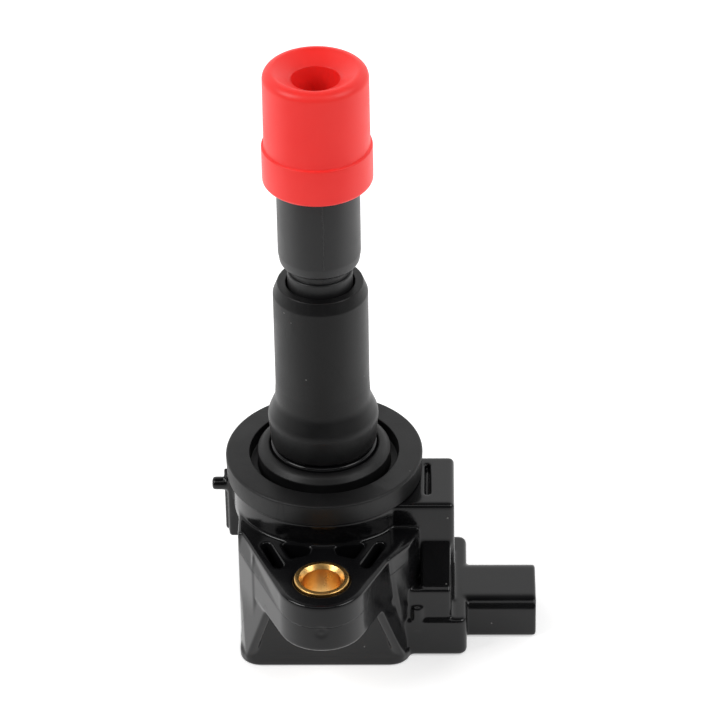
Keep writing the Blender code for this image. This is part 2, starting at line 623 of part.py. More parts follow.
def main():
    clear_scene()
    gloss = finish("housing_gloss", (0.022, 0.022, 0.024), 0.22)
    satin = finish("tube_satin", (0.035, 0.035, 0.038), 0.42)
    rubber = finish("seal_rubber", (0.03, 0.03, 0.032), 0.6)
    silicone = finish("boot_silicone", (0.85, 0.055, 0.05), 0.42)
    brass = finish("brass", (0.80, 0.58, 0.22), 0.25, 1.0)
    steel = finish("spring_steel", (0.55, 0.55, 0.56), 0.3, 1.0)
    tin = finish("tinned_copper", (0.72, 0.70, 0.66), 0.3, 1.0)
    copper = finish("primary_copper", (0.62, 0.27, 0.12), 0.4, 0.9)
    lacquer = finish("secondary_copper", (0.45, 0.16, 0.07), 0.35, 0.6)
    laminations = finish("silicon_steel", (0.33, 0.34, 0.36), 0.45, 0.9)
    magnet = finish("ferrite", (0.09, 0.09, 0.1), 0.6)
    former = finish("former_plastic", (0.55, 0.50, 0.40), 0.5)
    epoxy = finish("potting_epoxy", (0.03, 0.03, 0.032), 0.3)
    moulding = finish("semiconductor_moulding", (0.04, 0.04, 0.045), 0.5)
    aluminium = finish("aluminium", (0.75, 0.76, 0.78), 0.35, 1.0)
    ceramic = finish("resistor_ceramic", (0.78, 0.75, 0.68), 0.6)

    make_housing(gloss)
    extruded("potting_layer", potting_outline(), 0.0, POTTING_DEPTH, epoxy)
    make_coil(laminations, magnet, former, copper, lacquer)
    make_electronics(moulding, aluminium, tin, copper)
    make_high_voltage_path(brass, steel, ceramic, moulding, copper)
    make_tube(satin)
    make_sleeve(satin)
    make_seal(rubber)
    make_boot(silicone)
    make_bush(brass)


main()
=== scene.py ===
"""The looks of a plug-top ignition coil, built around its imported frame.

Lengths are in millimetres, and turn into metres where a mesh, a light or a material is made. The
coil stands on z = 0 with its plug tube up along Z, its fixing ear towards -Y and its connector
towards +X.
"""

import math
import random

import bmesh
import bpy
import numpy as np
from mathutils import Matrix, Vector


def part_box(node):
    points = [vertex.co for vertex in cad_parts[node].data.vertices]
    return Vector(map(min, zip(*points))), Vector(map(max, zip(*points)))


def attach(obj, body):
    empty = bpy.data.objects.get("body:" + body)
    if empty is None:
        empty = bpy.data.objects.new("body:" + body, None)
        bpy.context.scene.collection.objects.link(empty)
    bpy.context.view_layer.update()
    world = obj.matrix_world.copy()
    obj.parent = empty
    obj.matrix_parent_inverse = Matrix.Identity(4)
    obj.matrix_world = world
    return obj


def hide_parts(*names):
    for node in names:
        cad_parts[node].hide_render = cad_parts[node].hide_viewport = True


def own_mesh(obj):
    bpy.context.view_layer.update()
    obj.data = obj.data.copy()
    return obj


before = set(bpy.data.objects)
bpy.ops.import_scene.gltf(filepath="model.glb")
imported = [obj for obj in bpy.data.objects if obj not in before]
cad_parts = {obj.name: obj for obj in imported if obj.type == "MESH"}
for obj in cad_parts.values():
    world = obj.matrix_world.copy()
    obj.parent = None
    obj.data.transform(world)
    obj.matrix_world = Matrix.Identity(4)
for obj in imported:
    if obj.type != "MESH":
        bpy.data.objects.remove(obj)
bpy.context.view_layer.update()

MM = 0.001
GAP = 0.3  # the frame's clearance between pieces that touch
AXIS = (0.0, 0.0)  # of the plug tube, seen from above
GRID_STEP = 0.3  # of the solids made on a grid
HOUSING_TRIANGLES = 190_000
POTTING_TRIANGLES = 60_000

# ---- sizes read from the frame


def node_box(node):
    """Lowest and highest corners of a node of the frame, in millimetres."""
    low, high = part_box(node)
    return low / MM, high / MM


HOUSING_LOW, HOUSING_HIGH = node_box("housing")
SEAL_LOW, SEAL_HIGH = node_box("flange_seal")
SLEEVE_LOW, SLEEVE_HIGH = node_box("tube_sleeve")
TUBE_LOW, TUBE_HIGH = node_box("high_voltage_tube")
BOOT_LOW, BOOT_HIGH = node_box("plug_boot")
BUSH_LOW, BUSH_HIGH = node_box("mounting_bush")
CAP_LOW, CAP_HIGH = node_box("contact_cap")
BUSH_CENTRE = (0.0, (BUSH_LOW.y + BUSH_HIGH.y) / 2)

# ---- the housing's driving sizes

BLOCK_HALF_WIDTH = 15.8
BLOCK_FRONT = -19.9
BLOCK_BACK = 18.0
BLOCK_BOTTOM = 0.3
BLOCK_TOP = BUSH_HIGH.z - 0.4
BLOCK_CORNER = 3.0
BLOCK_CHAMFER_FRONT = 12.75
RIM_HEIGHT = 2.2
RIM_FRONT = -20.1
RIM_SIDE_OVERHANG = 0.1
RIM_BACK_OVERHANG = 0.2
RIM_CORNER = 3.8
WALL = 1.8
ROOF = 2.5
EDGE = 0.45  # rounding of the moulding's outer edges

NECK_RADIUS = 17.0
NECK_TOP = SEAL_LOW.z - GAP
TOWER_RADIUS = 9.8
TOWER_TOP = SLEEVE_LOW.z - GAP
SPIGOT_RADIUS = 7.6
SPIGOT_TOP = HOUSING_HIGH.z
TOWER_BORE = 3.2

EAR_REACH = -BUSH_CENTRE[1]
EAR_RADIUS = 8.35
EAR_THICKNESS = 10.1
EAR_BOTTOM = BLOCK_TOP - EAR_THICKNESS
EAR_TIP = -EAR_REACH - EAR_RADIUS
EAR_ROOT = -13.1
EAR_OVERLAP = 8.0  # how far the ear runs back into the block
RECESS_FLOOR = 19.5
SHELF_BACK = -15.3
SLOT_BACK = (10.4, -16.7)
SLOT_FRONT = (8.0, -22.5)
SLOT_WIDTH = 1.8
POCKET_CORNERS = ((2.2, -17.3), (7.9, -15.9), (5.8, -20.6), (2.6, -19.3))
GUSSET_THICKNESS = 1.6
GUSSET_TOP = EAR_BOTTOM + 1.0
GUSSET_CORNERS = (
    (15.6, -12.4, GUSSET_TOP), (10.4, -23.9, GUSSET_TOP), (14.7, -19.4, 1.2), (15.6, -16.0, 1.2),
    (15.7, -12.4, 1.2),
)
# Along the ear's left side: x, y, the height of the mould's parting line, and the draft at the top
EAR_DRAFT = ((-15.8, -13.1, 21.9, 0.8), (-7.6, -30.5, 20.9, 0.05))
GATE_CENTRE = (0.0, 19.8)  # the moulding gate on the ear's tip, as (x, z)
GATE_RECESS_RADIUS = 1.1
GATE_STUB_RADIUS = 0.5
SHOULDER_TOP_PLAN = (
    (12.0, -20.7), (12.3, -20.9), (15.8, -16.5), (17.4, -12.5), (17.4, -9.0), (12.0, -9.0),
)
SHOULDER_FOOT_PLAN = ((12.0, -17.5), (15.4, -16.4), (17.4, -12.5), (17.4, -9.0), (12.0, -9.0))
SHOULDER_FOOT = 0.5

BAY_RIGHT = 24.0
BAY_FRONT = -11.3
BAY_BACK = 4.2
BAY_TOP = 30.5
BAY_SLOT = ((19.0, -7.4), (19.0, 1.25))
BAY_SLOT_WIDTH = 0.8
BAY_SLOT_DEPTH = 1.1
SLOPE_LEFT = 17.8
SLOPE_SECTION = (
    (-10.0, 14.0, 0.0), (-15.9, 14.0, 0.0), (-15.9, 15.0, 0.2), (-11.3, 22.5, 0.8),
    (-10.0, 22.5, 0.0),
)
LEDGE_RIGHT = 23.4
LEDGE_FRONT = -16.5
LEDGE_TOP = 15.0
FOOT_RIGHT = 26.3
FOOT_FRONT = -17.2
FOOT_BACK = 9.3
FOOT_TOP = 8.4
FOOT_CORNER = 1.5
BLOCK_OVERLAP = 12.0  # from here on, the bay and the ledge are inside the block
POST_CENTRE = (17.1, -15.9)
POST_RADIUS = 1.4
POST_TOP = 11.2
CONNECTOR_END = HOUSING_HIGH.x
CONNECTOR_CENTRE = -5.0
CONNECTOR_WIDTH = 13.2
CONNECTOR_BOTTOM = 0.25
CONNECTOR_WALL = 1.2
CONNECTOR_CORNER = 2.5
SOCKET_FLOOR = 28.0
PIN_PITCH = 3.4
PIN_HEIGHT = 4.0
PIN_THICKNESS = 0.64

RAIL = ((-18.2, 0.6, 14.6), (-14.0, 3.4, 28.4))
FIN = ((-18.9, 1.6, 15.6), (-17.9, 2.4, 29.4))
PEG_CENTRE = (2.0, 26.0)
PEG_RADIUS = 1.25

# ---- the other pieces' sizes

BOOT_COLLAR_TOP = BOOT_LOW.z + 7.3
BOOT_BARREL_RADIUS = 9.4
BOOT_SOCKET_RADIUS = 7.75
BOOT_SOCKET_TOP = 102.9
BOOT_BORE = 4.3

TUBE_BORE = 3.4
TUBE_CONTACT_BORE = 2.5
TUBE_CONTACT_FLOOR = 101.0
TUBE_NECK_RADIUS = 5.9
TUBE_NECK_TOP = 74.8
TUBE_WAIST_RADIUS = 5.4
TUBE_SHOULDER = 76.6
SEAM_AZIMUTH = -82.3
SEAM_RADIUS = 0.11
SEAM_STEP = 0.25
SEAM_WANDER = 0.05

SLEEVE_FOOT_RADIUS = 9.65
SLEEVE_SWELL = ((10.2, 43.9, 3.5), (8.75, 47.4, 4.0))
SLEEVE_RADIUS = 8.6
SLEEVE_MOUTH_RADIUS = 6.2

SEAL_LIP_HEIGHT = 1.9
SEAL_GROOVE_DEPTH = 2.6

BUSH_BORE = 3.5

SPRING_WIRE_RADIUS = 0.35
CONTACT_SPRING_RADIUS = 2.5
CONTACT_SPRING_TURNS = 16
LINK_SPRING_RADIUS = 2.3
LINK_SPRING_TURNS = 5
CAP_FLANGE_RADIUS = 3.0
CAP_FLANGE_THICKNESS = 1.3
CAP_RADIUS = 2.1

POTTING_SAG = 0.42
# Small bubbles left in the potting's surface: x, y and radius
BUBBLES = (
    (-8.6, 11.2, 0.45), (-7.2, 11.9, 0.3), (9.4, -12.6, 0.4), (3.1, 6.8, 0.25), (-10.9, -7.3, 0.35),
)

# ---- outlines


def arc(centre, radius, start, end, steps):
    """Points of an arc in a plane; the angles are in degrees."""
    points = []
    for step in range(steps + 1):
        angle = math.radians(start + (end - start) * step / steps)
        points.append((centre[0] + radius * math.cos(angle), centre[1] + radius * math.sin(angle)))
    return points


def filleted(corners, degrees_per_step=9.0):
    """A closed outline through corners given as (u, v, radius), each one rounded by its radius."""
    points = []
    for index, (u, v, radius) in enumerate(corners):
        here = Vector((u, v))
        before = Vector(corners[index - 1][:2]) - here
        after = Vector(corners[(index + 1) % len(corners)][:2]) - here
        before.normalize()
        after.normalize()
        angle = before.angle(after)
        if radius <= 0.0 or angle > math.pi - 0.01:
            points.append((u, v))
            continue
        centre = here + (before + after).normalized() * radius / math.sin(angle / 2)
        start = here + before * radius / math.tan(angle / 2) - centre
        end = here + after * radius / math.tan(angle / 2) - centre
        first = math.atan2(start.y, start.x)
        sweep = (math.atan2(end.y, end.x) - first + math.pi) % math.tau - math.pi
        steps = max(2, math.ceil(abs(math.degrees(sweep)) / degrees_per_step))
        for step in range(steps + 1):
            turn = first + sweep * step / steps
            points.append((centre.x + radius * math.cos(turn), centre.y + radius * math.sin(turn)))
    return points


def rounded_rectangle(low, high, radius):
    """Outline of a rectangle with round corners, anticlockwise."""
    corners = ((high[0], low[1]), high, (low[0], high[1]), low)
    return filleted([(u, v, radius) for u, v in corners])


def tangent_angle(outside, centre, radius, side):
    """The angle in degrees at which a line from an outside point touches a circle, on one side."""
    towards = math.atan2(outside[1] - centre[1], outside[0] - centre[0])
    swing = math.acos(radius / math.dist(outside, centre))
    return math.degrees(towards - side * swing) % 360


def ear_outline():
    """Plan of the ear, from the block's width to the round tip about the bush."""
    half, back = BLOCK_HALF_WIDTH, EAR_ROOT + EAR_OVERLAP
    left = tangent_angle((-half, EAR_ROOT), BUSH_CENTRE, EAR_RADIUS, -1)
    right = tangent_angle((half, EAR_ROOT), BUSH_CENTRE, EAR_RADIUS, 1)
    tip = [(u, v, 0.0) for u, v in arc(BUSH_CENTRE, EAR_RADIUS, left, right, 40)]
    return filleted([
        (-half, back, 0.0), (-half, EAR_ROOT, 1.5), *tip, (half, EAR_ROOT, 1.5), (half, back, 0.0),
    ])


def block_outline(inset=0.0, soft=1.2):
    """Plan of the block: slanted front corners in line with the ear's sides, round back corners."""
    half = BLOCK_HALF_WIDTH - inset
    narrow = BLOCK_CHAMFER_FRONT - 0.65 * inset
    slant = EAR_ROOT + 0.24 * inset
    front = BLOCK_FRONT + inset
    back = BLOCK_BACK - inset
    round_back = BLOCK_CORNER - inset
    return filleted([
        (-half, slant, soft), (-narrow, front, soft), (narrow, front, soft), (half, slant, soft),
        (half, back, round_back), (-half, back, round_back),
    ])


def slot_outline(start, end, width):
    """Plan of a slot with round ends between two points."""
    angle = math.degrees(math.atan2(end[1] - start[1], end[0] - start[0]))
    return (arc(start, width / 2, angle + 90, angle + 270, 12)
            + arc(end, width / 2, angle - 90, angle + 90, 12))


def connector_outline(inset=0.0):
    """Section of the connector shell, as (y, z) points: round above, nearly square below."""
    left = CONNECTOR_CENTRE - CONNECTOR_WIDTH / 2 + inset
    right = CONNECTOR_CENTRE + CONNECTOR_WIDTH / 2 - inset
    bottom = CONNECTOR_BOTTOM + inset
    top = FOOT_TOP - inset
    radius = CONNECTOR_CORNER - inset
    return filleted([
        (left, bottom, 0.6), (right, bottom, 0.6), (right, top, radius), (left, top, radius),
    ])


# ---- shapes as distance fields

# A shape is three things: a function that gives signed distances on a grid, negative inside, and
# the lowest and highest corners of its box.

ACROSS = {"X": (1, 2, 0), "Y": (0, 2, 1), "Z": (0, 1, 2)}  # the axes across an axis, then itself


def outline_distance(outline, u, v):
    """Signed distance of grid points from a closed outline, negative inside."""
    nearest = np.full(np.broadcast(u, v).shape, np.inf)
    inside = np.zeros(nearest.shape, bool)
    for (u0, v0), (u1, v1) in zip(outline, outline[1:] + outline[:1]):
        du, dv = u1 - u0, v1 - v0
        length = du * du + dv * dv
        if length < 1e-12:
            continue
        share = np.clip(((u - u0) * du + (v - v0) * dv) / length, 0.0, 1.0)
        nearest = np.minimum(nearest, np.hypot(u - u0 - share * du, v - v0 - share * dv))
        if dv:
            crosses = (v0 > v) != (v1 > v)
            inside ^= crosses & (u < u0 + (v - v0) * du / dv)
    return np.where(inside, -nearest, nearest)


def capped(side, end, radius):
    """Joins the distances from a wall and its flat ends, with the edge between them rounded."""
    a, b = side + radius, end + radius
    outside = np.hypot(np.maximum(a, 0.0), np.maximum(b, 0.0))
    return np.minimum(np.maximum(a, b), 0.0) + outside - radius


def extruded(section, plane_low, plane_high, low, high, edge, axis):
    """A section's distance in the plane across an axis, carried along the axis."""
    order = ACROSS[axis]

    def distance(grid):
        u, v, w = (grid[index] for index in order)
        return capped(section(u, v), np.abs(w - (low + high) / 2) - (high - low) / 2, edge)

    box_low, box_high = [0.0] * 3, [0.0] * 3
    for index, least, most in zip(order, (*plane_low, low), (*plane_high, high)):
        box_low[index], box_high[index] = least, most
    return distance, box_low, box_high


def prism(outline, low, high, edge=0.0, axis="Z"):
    """An outline extruded along an axis: (x, y), (x, z) or (y, z) points."""
    us, vs = zip(*outline)
    return extruded(lambda u, v: outline_distance(outline, u, v),
                    (min(us), min(vs)), (max(us), max(vs)), low, high, edge, axis)


def pillar(centre, radius, low, high, edge=0.0, axis="Z"):
    """A round pillar along an axis; the centre is in the plane across it."""
    return extruded(lambda u, v: np.hypot(u - centre[0], v - centre[1]) - radius,
                    [c - radius for c in centre], [c + radius for c in centre],
                    low, high, edge, axis)


def block(low, high, radius):
    """A box with round edges."""

    def distance(grid):
        reach = [np.abs(grid[i] - (low[i] + high[i]) / 2) - (high[i] - low[i]) / 2 + radius
                 for i in range(3)]
        outside = np.sqrt(sum(np.maximum(r, 0.0) ** 2 for r in reach))
        inside = np.minimum(np.maximum(np.maximum(reach[0], reach[1]), reach[2]), 0.0)
        return outside + inside - radius

    return distance, low, high


def ball(centre, radius):
    """A ball."""

    def distance(grid):
        return np.sqrt(sum((grid[i] - centre[i]) ** 2 for i in range(3))) - radius

    return distance, [c - radius for c in centre], [c + radius for c in centre]


def hull(points):
    """The convex hull of a few points."""
    bm = bmesh.new()
    for point in points:
        bm.verts.new(point)
    bmesh.ops.convex_hull(bm, input=list(bm.verts))
    bm.normal_update()
    centre = sum((Vector(p) for p in points), Vector()) / len(points)
    planes = []
    for face in bm.faces:
        corner = face.verts[0].co
        normal = face.normal * (1.0 if face.normal.dot(corner - centre) > 0 else -1.0)
        planes.append((normal, normal.dot(corner)))
    bm.free()

    def distance(grid):
        sides = [n.x * grid[0] + n.y * grid[1] + n.z * grid[2] - offset for n, offset in planes]
        return np.maximum.reduce(sides)

    return distance, np.min(points, axis=0), np.max(points, axis=0)


class Moulding:
    """A solid on a regular grid: shapes are added and cut, and its surface is read as a mesh."""

    REACH = 1.5  # distances are kept up to this far from a surface

    def __init__(self, low, high, step):
        self.step = step
        self.low = np.array(low) - 2 * step
        counts = np.ceil((np.array(high) + 2 * step - self.low) / step).astype(int) + 1
        self.axes = [self.low[i] + step * np.arange(counts[i]) for i in range(3)]
        self.field = np.full(counts, self.REACH, np.float32)

    def window(self, low, high):
        """The part of the grid near a box, as slices and open coordinate arrays."""
        slices, grid = [], []
        for axis in range(3):
            first = int(np.searchsorted(self.axes[axis], low[axis] - self.REACH))
            last = int(np.searchsorted(self.axes[axis], high[axis] + self.REACH))
            slices.append(slice(first, last))
            shape = [-1 if i == axis else 1 for i in range(3)]
            grid.append(self.axes[axis][first:last].reshape(shape))
        return tuple(slices), grid

    def merge(self, shape, sign, blend):
        """Joins a shape for a sign of 1, or cuts it for -1, with a fillet of about the blend."""
        distance, low, high = shape
        slices, grid = self.window(low, high)
        old = self.field[slices]
        new = sign * np.clip(distance(grid), -self.REACH, self.REACH)
        merged = np.minimum(old, new) if sign > 0 else np.maximum(old, new)
        if blend:
            near = np.maximum(blend - np.abs(old - new), 0.0) / blend
            merged = merged - sign * near * near * blend / 4
        self.field[slices] = merged

    def add(self, shape, blend=0.0):
        self.merge(shape, 1, blend)

    def cut(self, shape, blend=0.0):
        self.merge(shape, -1, blend)

    def soften(self):
        """Rounds every edge and corner by about one grid step."""
        for axis in range(3):
            padded = np.pad(self.field, [(int(i == axis),) * 2 for i in range(3)], "edge")
            count = self.field.shape[axis]
            first, middle, last = (padded.take(range(i, i + count), axis) for i in range(3))
            self.field = (first + 2 * middle + last) / 4

    def sample(self, points):
        """The field between grid points."""
        place = (points - self.low) / self.step
        cell = np.clip(np.floor(place).astype(int), 0, np.array(self.field.shape) - 2)
        share = place - cell
        total = 0.0
        for corner in np.ndindex(2, 2, 2):
            weight = np.prod(np.where(corner, share, 1.0 - share), axis=1)
            at = cell + corner
            total = total + weight * self.field[at[:, 0], at[:, 1], at[:, 2]]
        return total

    def normals(self, points):
        """Unit normals of the surface through points near it."""
        parts = []
        for axis in range(3):
            ahead, behind = points.copy(), points.copy()
            ahead[:, axis] += 0.7 * self.step
            behind[:, axis] -= 0.7 * self.step
            parts.append(self.sample(ahead) - self.sample(behind))
        normal = np.stack(parts, axis=1)
        return normal / np.maximum(np.linalg.norm(normal, axis=1, keepdims=True), 1e-9)

    def surface(self):
        """Points and four-sided faces of the surface: a point in each cell that it crosses."""
        inside = self.field < 0
        cells = np.array(self.field.shape) - 1
        count = np.zeros(cells, np.int8)
        corners = list(np.ndindex(2, 2, 2))
        for a, b, c in corners:
            count += inside[a:a + cells[0], b:b + cells[1], c:c + cells[2]]
        active = (count > 0) & (count < 8)
        cell = np.argwhere(active)
        values = np.stack([self.field[tuple((cell + corner).T)] for corner in corners], axis=1)
        total = np.zeros((len(cell), 3))
        crossings = np.zeros(len(cell))
        for i, first in enumerate(corners):
            for axis in range(3):
                if first[axis]:
                    continue
                second = tuple(1 if k == axis else first[k] for k in range(3))
                va, vb = values[:, i], values[:, corners.index(second)]
                crosses = (va < 0) != (vb < 0)
                share = np.where(crosses, va / np.where(crosses, va - vb, 1.0), 0.0)
                at = np.tile(np.array(first, float), (len(cell), 1))
                at[:, axis] += share
                total += at * crosses[:, None]
                crossings += crosses
        points = self.low + (cell + total / crossings[:, None]) * self.step
        number = np.full(cells, -1)
        number[active] = np.arange(len(cell))
        faces = []
        for axis in range(3):
            u, v = (axis + 1) % 3, (axis + 2) % 3
            before = inside.take(range(inside.shape[axis] - 1), axis)
            after = inside.take(range(1, inside.shape[axis]), axis)
            edge = np.argwhere(before != after)
            edge = edge[(edge[:, u] > 0) & (edge[:, v] > 0)]
            outwards = before[tuple(edge.T)]
            ring = []
            for du, dv in ((1, 1), (0, 1), (0, 0), (1, 0)):
                at = edge.copy()
                at[:, u] -= du
                at[:, v] -= dv
                ring.append(number[tuple(at.T)])
            ring = np.stack(ring, axis=1)
            ring[~outwards] = ring[~outwards][:, ::-1]
            faces.append(ring)
        return points, np.concatenate(faces)


# ---- meshes


def shown(name, mesh, material):
    """A mesh in metres as an object with a material."""
    mesh.materials.append(material)
    piece = bpy.data.objects.new(name, mesh)
    bpy.context.scene.collection.objects.link(piece)
    return piece


def turned(name, node, profile, material, centre=AXIS, steps=144):
    """A closed half section of (radius, height) points, turned to stand in for a frame node."""
    profile = np.array(profile)
    angles = math.tau * np.arange(steps) / steps
    radius = profile[:, 0][:, None]
    x = centre[0] + radius * np.cos(angles)
    y = centre[1] + radius * np.sin(angles)
    z = np.broadcast_to(profile[:, 1][:, None], x.shape)
    points = np.stack([x, y, z], axis=2).reshape(-1, 3)
    rows, columns = np.meshgrid(np.arange(len(profile)), np.arange(steps), indexing="ij")
    row_after, column_after = (rows + 1) % len(profile), (columns + 1) % steps
    faces = np.stack([
        rows * steps + columns, rows * steps + column_after,
        row_after * steps + column_after, row_after * steps + columns,
    ], axis=2).reshape(-1, 4)
    on_axis = (profile[rows, 0] < 1e-6) & (profile[row_after, 0] < 1e-6)
    bm = bmesh.new()
    verts = [bm.verts.new(point * MM) for point in points]
    for face, skip in zip(faces, on_axis.reshape(-1)):
        if not skip:
            bm.faces.new([verts[i] for i in face])
    bmesh.ops.remove_doubles(bm, verts=bm.verts, dist=1e-7)
    bmesh.ops.recalc_face_normals(bm, faces=bm.faces)
    mesh = bpy.data.meshes.new(name)
    bm.to_mesh(mesh)
    bm.free()
    mesh.shade_smooth()
    mesh.set_sharp_from_angle(angle=math.radians(40))
    piece = shown(name, mesh, material)
    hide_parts(node)
    return piece


def wire(name, path, radius, material, sides=12):
    """A round wire with flat ends along a path of points."""
    path = np.array(path, float)
    along = np.gradient(path, axis=0)
    along /= np.linalg.norm(along, axis=1, keepdims=True)
    side = np.cross(along[0], (0.0, 0.0, 1.0) if abs(along[0][2]) < 0.9 else (1.0, 0.0, 0.0))
    points, angles = [], math.tau * np.arange(sides) / sides
    for place, forward in zip(path, along):
        side = side - forward * side.dot(forward)
        side /= np.linalg.norm(side)
        other = np.cross(forward, side)
        ring = np.cos(angles)[:, None] * side + np.sin(angles)[:, None] * other
        points.append(place + radius * ring)
    last = (len(path) - 1) * sides
    faces = []
    for start in range(0, last, sides):
        for k in range(sides):
            after = (k + 1) % sides
            faces.append((start + k, start + after, start + sides + after, start + sides + k))
    faces.append(tuple(range(sides))[::-1])
    faces.append(tuple(last + k for k in range(sides)))
    mesh = bpy.data.meshes.new(name)
    mesh.from_pydata([tuple(MM * c for c in point) for point in np.concatenate(points)], [], faces)
    mesh.validate()
    mesh.shade_smooth()
    mesh.set_sharp_from_angle(angle=math.radians(50.0))
    return shown(name, mesh, material)


def helix_path(radius, low, high, turns, dead_turns, per_turn=36):
    """Centre line of a compression spring whose end turns lie close together."""
    count = int(turns * per_turn) + 1
    dead_share = 0.14  # of the height, taken up by the two closed ends
    points = []
    for i in range(count):
        turn = turns * i / (count - 1)
        share = min(max((turn - dead_turns) / (turns - 2 * dead_turns), 0.0), 1.0)
        closed = min(turn, dead_turns) + min(max(turn - turns + dead_turns, 0.0), dead_turns)
        slack = dead_share * closed / dead_turns
        height = low + (high - low) * ((1.0 - dead_share) * share + slack / 2)
        angle = math.tau * turn
        points.append((radius * math.cos(angle), radius * math.sin(angle), height))
    return points


# ---- materials


class Nodes:
    """Short calls that lay out a node tree."""

    def __init__(self, tree):
        self.tree = tree

    def fill(self, made, inputs):
        """Sets a node's inputs to values, or links them to the outputs of other nodes."""
        for key, value in inputs.items():
            if isinstance(value, bpy.types.NodeSocket):
                self.tree.links.new(value, made.inputs[key])
            else:
                made.inputs[key].default_value = value
        return made

    def node(self, kind, inputs=None, **settings):
        made = self.tree.nodes.new(kind)
        for key, value in settings.items():
            setattr(made, key, value)
        return self.fill(made, inputs or {})

    def ramp(self, value, low, high, to_low=0.0, to_high=1.0):
        return self.node("ShaderNodeMapRange", {
            "Value": value, "From Min": low, "From Max": high, "To Min": to_low, "To Max": to_high,
        }).outputs["Result"]

    def maths(self, kind, a, b=0.0):
        return self.node("ShaderNodeMath", {0: a, 1: b}, operation=kind).outputs[0]

    def times(self, a, b):
        return self.maths("MULTIPLY", a, b)

    def split(self, vector):
        """The X, Y and Z of a vector."""
        return self.node("ShaderNodeSeparateXYZ", {"Vector": vector}).outputs


class Finish(Nodes):
    """A Principled material, with places on the piece in metres."""

    def __init__(self, name, roughness=0.4, metallic=0.0, ior=1.5):
        self.material = bpy.data.materials.new(f"{name}_look")
        self.material.use_nodes = True
        super().__init__(self.material.node_tree)
        self.shader = self.tree.nodes["Principled BSDF"]
        self.look({"Roughness": roughness, "Metallic": metallic, "IOR": ior})
        self.place = self.node("ShaderNodeTexCoord").outputs["Object"]
        self.height = None

    def look(self, inputs):
        """Sets inputs of the Principled shader."""
        self.fill(self.shader, inputs)

    def moved(self, offset=(0, 0, 0), scale=(1, 1, 1)):
        """The place on the piece, shifted and stretched."""
        inputs = {"Vector": self.place, "Location": offset, "Scale": scale}
        return self.node("ShaderNodeMapping", inputs).outputs[0]

    def around(self, centre=AXIS):
        """The distance from a vertical axis, and the height."""
        parts = self.split(self.moved((-centre[0] * MM, -centre[1] * MM, 0.0)))
        flat = self.node("ShaderNodeCombineXYZ", {"X": parts["X"], "Y": parts["Y"]}).outputs[0]
        length = self.node("ShaderNodeVectorMath", {0: flat}, operation="LENGTH")
        return length.outputs["Value"], parts["Z"]

    def noise(self, size_mm, detail=2.0, rough=0.5, stretch=(1, 1, 1), offset=(0, 0, 0)):
        """Noise from 0 to 1 with features of about this size."""
        return self.node("ShaderNodeTexNoise", {
            "Vector": self.moved(offset, stretch), "Scale": 1000.0 / size_mm, "Detail": detail,
            "Roughness": rough,
        }).outputs["Fac"]

    def mix(self, factor, first, second):
        inputs = {"Factor": factor, "A": first, "B": second}
        return self.node("ShaderNodeMix", inputs, data_type="RGBA").outputs["Result"]

    def specks(self, spacing_mm, size_mm):
        """1 on small round specks scattered over the piece, 0 between them."""
        inputs = {"Vector": self.moved(), "Scale": 1000.0 / spacing_mm, "Randomness": 1.0}
        away = self.node("ShaderNodeTexVoronoi", inputs).outputs["Distance"]
        edge = size_mm / spacing_mm
        return self.ramp(away, edge, edge * 0.5)

    def scratches(self, spacing_mm, stretch, offset=(0, 0, 0)):
        """1 along thin broken scratches that run with the stretch."""
        lines = self.noise(spacing_mm, 0.0, 0.0, stretch, offset)
        thin = self.ramp(self.maths("ABSOLUTE", self.maths("SUBTRACT", lines, 0.5)), 0.006, 0.0)
        broken = self.ramp(self.noise(spacing_mm * 2.5, 2.0, 0.6, offset=(7, 3, 5)), 0.52, 0.62)
        return self.times(thin, broken)

    def raise_by(self, value, height_mm):
        """Adds a relief of this height to the bump."""
        part = self.times(value, height_mm * MM)
        self.height = part if self.height is None else self.maths("ADD", self.height, part)

    def parting_line(self, height_mm, slope, from_y_mm, relief_mm):
        """A fine line left by the mould's joint, in front of a given y, that slopes with y."""
        parts = self.split(self.place)
        level = self.maths("SUBTRACT", parts["Z"], self.times(parts["Y"], slope))
        away = self.maths("ABSOLUTE", self.maths("SUBTRACT", level, height_mm * MM))
        line = self.ramp(away, 0.10 * MM, 0.04 * MM)
        here = self.ramp(parts["Y"], (from_y_mm + 0.5) * MM, from_y_mm * MM)
        self.raise_by(self.times(line, here), relief_mm)

    def done(self):
        """The material, once its relief is linked in."""
        inputs = {"Height": self.height, "Strength": 1.0, "Distance": 1.0}
        self.look({"Normal": self.node("ShaderNodeBump", inputs).outputs[0]})
        return self.material


def rgb(red, green, blue):
    return (red, green, blue, 1.0)


